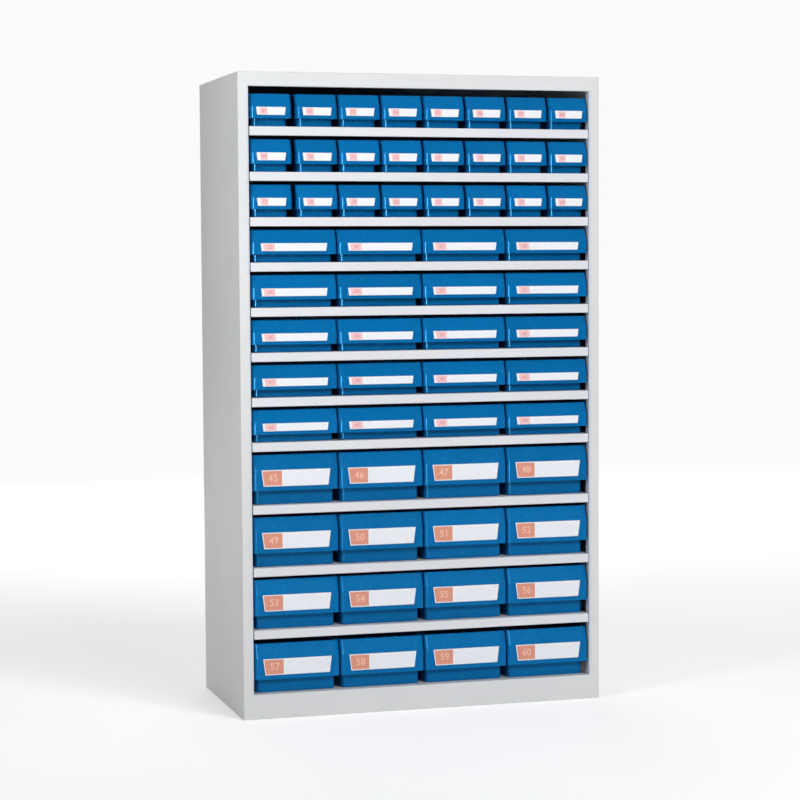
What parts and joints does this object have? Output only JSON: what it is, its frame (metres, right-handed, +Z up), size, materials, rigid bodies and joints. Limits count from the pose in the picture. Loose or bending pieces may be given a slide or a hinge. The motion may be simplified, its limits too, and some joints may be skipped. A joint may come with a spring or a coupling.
{
  "type": "parts bin cabinet",
  "caption": "Tall open-fronted sheet-steel cabinet with clip-in shelves full of sliding plastic parts bins in narrow, wide and deep sizes, each with a label card on its front.",
  "frame": {"origin": "on the floor, under the middle of the cabinet", "axes": "+Z up, the open front faces -Y, +X to the right as seen from the front"},
  "size_m": [1.06, 0.525, 1.8],
  "materials": {
    "powder_coat": "light grey powder coat, satin, fine orange peel",
    "shelf_coat": "light grey powder coat, satin",
    "upright_coat": "light grey powder coat, satin",
    "clip_steel": "zinc plated",
    "bin_plastic": "blue moulded polypropylene, semi-matte",
    "label_card": "white printed card"
  },
  "bodies": {
    "cabinet": {"left_side_panel": "powder_coat", "right_side_panel": "powder_coat", "back_panel": "powder_coat", "top_cap": "powder_coat", "header_rail": "powder_coat", "bottom_deck": "powder_coat", "front_uprights": "upright_coat", "rear_uprights": "upright_coat", "small_bin_shelves": "shelf_coat", "low_bin_shelves": "shelf_coat", "tall_bin_shelves": "shelf_coat", "shelf_clips": "clip_steel"},
    "small_bins_row1_pair1": {"small_bins_row1_pair1": "bin_plastic"},
    "small_bins_row1_pair2": {"small_bins_row1_pair2": "bin_plastic"},
    "small_bins_row1_pair3": {"small_bins_row1_pair3": "bin_plastic"},
    "small_bins_row1_pair4": {"small_bins_row1_pair4": "bin_plastic"},
    "small_bins_row2_pair1": {"small_bins_row2_pair1": "bin_plastic"},
    "small_bins_row2_pair2": {"small_bins_row2_pair2": "bin_plastic"},
    "small_bins_row2_pair3": {"small_bins_row2_pair3": "bin_plastic"},
    "small_bins_row2_pair4": {"small_bins_row2_pair4": "bin_plastic"},
    "small_bins_row3_pair1": {"small_bins_row3_pair1": "bin_plastic"},
    "small_bins_row3_pair2": {"small_bins_row3_pair2": "bin_plastic"},
    "small_bins_row3_pair3": {"small_bins_row3_pair3": "bin_plastic"},
    "small_bins_row3_pair4": {"small_bins_row3_pair4": "bin_plastic"},
    "low_bin_row4_1": {"low_bin_row4_1": "bin_plastic"},
    "low_bin_row4_2": {"low_bin_row4_2": "bin_plastic"},
    "low_bin_row4_3": {"low_bin_row4_3": "bin_plastic"},
    "low_bin_row4_4": {"low_bin_row4_4": "bin_plastic"},
    "low_bin_row5_1": {"low_bin_row5_1": "bin_plastic"},
    "low_bin_row5_2": {"low_bin_row5_2": "bin_plastic"},
    "low_bin_row5_3": {"low_bin_row5_3": "bin_plastic"},
    "low_bin_row5_4": {"low_bin_row5_4": "bin_plastic"},
    "low_bin_row6_1": {"low_bin_row6_1": "bin_plastic"},
    "low_bin_row6_2": {"low_bin_row6_2": "bin_plastic"},
    "low_bin_row6_3": {"low_bin_row6_3": "bin_plastic"},
    "low_bin_row6_4": {"low_bin_row6_4": "bin_plastic"},
    "low_bin_row7_1": {"low_bin_row7_1": "bin_plastic"},
    "low_bin_row7_2": {"low_bin_row7_2": "bin_plastic"},
    "low_bin_row7_3": {"low_bin_row7_3": "bin_plastic"},
    "low_bin_row7_4": {"low_bin_row7_4": "bin_plastic"},
    "low_bin_row8_1": {"low_bin_row8_1": "bin_plastic"},
    "low_bin_row8_2": {"low_bin_row8_2": "bin_plastic"},
    "low_bin_row8_3": {"low_bin_row8_3": "bin_plastic"},
    "low_bin_row8_4": {"low_bin_row8_4": "bin_plastic"},
    "tall_bin_row9_1": {"tall_bin_row9_1": "bin_plastic"},
    "tall_bin_row9_2": {"tall_bin_row9_2": "bin_plastic"},
    "tall_bin_row9_3": {"tall_bin_row9_3": "bin_plastic"},
    "tall_bin_row9_4": {"tall_bin_row9_4": "bin_plastic"},
    "tall_bin_row10_1": {"tall_bin_row10_1": "bin_plastic"},
    "tall_bin_row10_2": {"tall_bin_row10_2": "bin_plastic"},
    "tall_bin_row10_3": {"tall_bin_row10_3": "bin_plastic"},
    "tall_bin_row10_4": {"tall_bin_row10_4": "bin_plastic"},
    "tall_bin_row11_1": {"tall_bin_row11_1": "bin_plastic"},
    "tall_bin_row11_2": {"tall_bin_row11_2": "bin_plastic"},
    "tall_bin_row11_3": {"tall_bin_row11_3": "bin_plastic"},
    "tall_bin_row11_4": {"tall_bin_row11_4": "bin_plastic"},
    "tall_bin_row12_1": {"tall_bin_row12_1": "bin_plastic"},
    "tall_bin_row12_2": {"tall_bin_row12_2": "bin_plastic"},
    "tall_bin_row12_3": {"tall_bin_row12_3": "bin_plastic"},
    "tall_bin_row12_4": {"tall_bin_row12_4": "bin_plastic"}
  },
  "joints": [
    {"name": "small_bins_row1_pair1_slide", "type": "slide", "parent": "cabinet", "child": "small_bins_row1_pair1", "axis": [0, -1, 0], "range_m": [0, 0.4]},
    {"name": "small_bins_row1_pair2_slide", "type": "slide", "parent": "cabinet", "child": "small_bins_row1_pair2", "axis": [0, -1, 0], "range_m": [0, 0.4]},
    {"name": "small_bins_row1_pair3_slide", "type": "slide", "parent": "cabinet", "child": "small_bins_row1_pair3", "axis": [0, -1, 0], "range_m": [0, 0.4]},
    {"name": "small_bins_row1_pair4_slide", "type": "slide", "parent": "cabinet", "child": "small_bins_row1_pair4", "axis": [0, -1, 0], "range_m": [0, 0.4]},
    {"name": "small_bins_row2_pair1_slide", "type": "slide", "parent": "cabinet", "child": "small_bins_row2_pair1", "axis": [0, -1, 0], "range_m": [0, 0.4]},
    {"name": "small_bins_row2_pair2_slide", "type": "slide", "parent": "cabinet", "child": "small_bins_row2_pair2", "axis": [0, -1, 0], "range_m": [0, 0.4]},
    {"name": "small_bins_row2_pair3_slide", "type": "slide", "parent": "cabinet", "child": "small_bins_row2_pair3", "axis": [0, -1, 0], "range_m": [0, 0.4]},
    {"name": "small_bins_row2_pair4_slide", "type": "slide", "parent": "cabinet", "child": "small_bins_row2_pair4", "axis": [0, -1, 0], "range_m": [0, 0.4]},
    {"name": "small_bins_row3_pair1_slide", "type": "slide", "parent": "cabinet", "child": "small_bins_row3_pair1", "axis": [0, -1, 0], "range_m": [0, 0.4]},
    {"name": "small_bins_row3_pair2_slide", "type": "slide", "parent": "cabinet", "child": "small_bins_row3_pair2", "axis": [0, -1, 0], "range_m": [0, 0.4]},
    {"name": "small_bins_row3_pair3_slide", "type": "slide", "parent": "cabinet", "child": "small_bins_row3_pair3", "axis": [0, -1, 0], "range_m": [0, 0.4]},
    {"name": "small_bins_row3_pair4_slide", "type": "slide", "parent": "cabinet", "child": "small_bins_row3_pair4", "axis": [0, -1, 0], "range_m": [0, 0.4]},
    {"name": "low_bin_row4_1_slide", "type": "slide", "parent": "cabinet", "child": "low_bin_row4_1", "axis": [0, -1, 0], "range_m": [0, 0.4]},
    {"name": "low_bin_row4_2_slide", "type": "slide", "parent": "cabinet", "child": "low_bin_row4_2", "axis": [0, -1, 0], "range_m": [0, 0.4]},
    {"name": "low_bin_row4_3_slide", "type": "slide", "parent": "cabinet", "child": "low_bin_row4_3", "axis": [0, -1, 0], "range_m": [0, 0.4]},
    {"name": "low_bin_row4_4_slide", "type": "slide", "parent": "cabinet", "child": "low_bin_row4_4", "axis": [0, -1, 0], "range_m": [0, 0.4]},
    {"name": "low_bin_row5_1_slide", "type": "slide", "parent": "cabinet", "child": "low_bin_row5_1", "axis": [0, -1, 0], "range_m": [0, 0.4]},
    {"name": "low_bin_row5_2_slide", "type": "slide", "parent": "cabinet", "child": "low_bin_row5_2", "axis": [0, -1, 0], "range_m": [0, 0.4]},
    {"name": "low_bin_row5_3_slide", "type": "slide", "parent": "cabinet", "child": "low_bin_row5_3", "axis": [0, -1, 0], "range_m": [0, 0.4]},
    {"name": "low_bin_row5_4_slide", "type": "slide", "parent": "cabinet", "child": "low_bin_row5_4", "axis": [0, -1, 0], "range_m": [0, 0.4]},
    {"name": "low_bin_row6_1_slide", "type": "slide", "parent": "cabinet", "child": "low_bin_row6_1", "axis": [0, -1, 0], "range_m": [0, 0.4]},
    {"name": "low_bin_row6_2_slide", "type": "slide", "parent": "cabinet", "child": "low_bin_row6_2", "axis": [0, -1, 0], "range_m": [0, 0.4]},
    {"name": "low_bin_row6_3_slide", "type": "slide", "parent": "cabinet", "child": "low_bin_row6_3", "axis": [0, -1, 0], "range_m": [0, 0.4]},
    {"name": "low_bin_row6_4_slide", "type": "slide", "parent": "cabinet", "child": "low_bin_row6_4", "axis": [0, -1, 0], "range_m": [0, 0.4]},
    {"name": "low_bin_row7_1_slide", "type": "slide", "parent": "cabinet", "child": "low_bin_row7_1", "axis": [0, -1, 0], "range_m": [0, 0.4]},
    {"name": "low_bin_row7_2_slide", "type": "slide", "parent": "cabinet", "child": "low_bin_row7_2", "axis": [0, -1, 0], "range_m": [0, 0.4]},
    {"name": "low_bin_row7_3_slide", "type": "slide", "parent": "cabinet", "child": "low_bin_row7_3", "axis": [0, -1, 0], "range_m": [0, 0.4]},
    {"name": "low_bin_row7_4_slide", "type": "slide", "parent": "cabinet", "child": "low_bin_row7_4", "axis": [0, -1, 0], "range_m": [0, 0.4]},
    {"name": "low_bin_row8_1_slide", "type": "slide", "parent": "cabinet", "child": "low_bin_row8_1", "axis": [0, -1, 0], "range_m": [0, 0.4]},
    {"name": "low_bin_row8_2_slide", "type": "slide", "parent": "cabinet", "child": "low_bin_row8_2", "axis": [0, -1, 0], "range_m": [0, 0.4]},
    {"name": "low_bin_row8_3_slide", "type": "slide", "parent": "cabinet", "child": "low_bin_row8_3", "axis": [0, -1, 0], "range_m": [0, 0.4]},
    {"name": "low_bin_row8_4_slide", "type": "slide", "parent": "cabinet", "child": "low_bin_row8_4", "axis": [0, -1, 0], "range_m": [0, 0.4]},
    {"name": "tall_bin_row9_1_slide", "type": "slide", "parent": "cabinet", "child": "tall_bin_row9_1", "axis": [0, -1, 0], "range_m": [0, 0.4]},
    {"name": "tall_bin_row9_2_slide", "type": "slide", "parent": "cabinet", "child": "tall_bin_row9_2", "axis": [0, -1, 0], "range_m": [0, 0.4]},
    {"name": "tall_bin_row9_3_slide", "type": "slide", "parent": "cabinet", "child": "tall_bin_row9_3", "axis": [0, -1, 0], "range_m": [0, 0.4]},
    {"name": "tall_bin_row9_4_slide", "type": "slide", "parent": "cabinet", "child": "tall_bin_row9_4", "axis": [0, -1, 0], "range_m": [0, 0.4]},
    {"name": "tall_bin_row10_1_slide", "type": "slide", "parent": "cabinet", "child": "tall_bin_row10_1", "axis": [0, -1, 0], "range_m": [0, 0.4]},
    {"name": "tall_bin_row10_2_slide", "type": "slide", "parent": "cabinet", "child": "tall_bin_row10_2", "axis": [0, -1, 0], "range_m": [0, 0.4]},
    {"name": "tall_bin_row10_3_slide", "type": "slide", "parent": "cabinet", "child": "tall_bin_row10_3", "axis": [0, -1, 0], "range_m": [0, 0.4]},
    {"name": "tall_bin_row10_4_slide", "type": "slide", "parent": "cabinet", "child": "tall_bin_row10_4", "axis": [0, -1, 0], "range_m": [0, 0.4]},
    {"name": "tall_bin_row11_1_slide", "type": "slide", "parent": "cabinet", "child": "tall_bin_row11_1", "axis": [0, -1, 0], "range_m": [0, 0.4]},
    {"name": "tall_bin_row11_2_slide", "type": "slide", "parent": "cabinet", "child": "tall_bin_row11_2", "axis": [0, -1, 0], "range_m": [0, 0.4]},
    {"name": "tall_bin_row11_3_slide", "type": "slide", "parent": "cabinet", "child": "tall_bin_row11_3", "axis": [0, -1, 0], "range_m": [0, 0.4]},
    {"name": "tall_bin_row11_4_slide", "type": "slide", "parent": "cabinet", "child": "tall_bin_row11_4", "axis": [0, -1, 0], "range_m": [0, 0.4]},
    {"name": "tall_bin_row12_1_slide", "type": "slide", "parent": "cabinet", "child": "tall_bin_row12_1", "axis": [0, -1, 0], "range_m": [0, 0.4]},
    {"name": "tall_bin_row12_2_slide", "type": "slide", "parent": "cabinet", "child": "tall_bin_row12_2", "axis": [0, -1, 0], "range_m": [0, 0.4]},
    {"name": "tall_bin_row12_3_slide", "type": "slide", "parent": "cabinet", "child": "tall_bin_row12_3", "axis": [0, -1, 0], "range_m": [0, 0.4]},
    {"name": "tall_bin_row12_4_slide", "type": "slide", "parent": "cabinet", "child": "tall_bin_row12_4", "axis": [0, -1, 0], "range_m": [0, 0.4]}
  ]
}
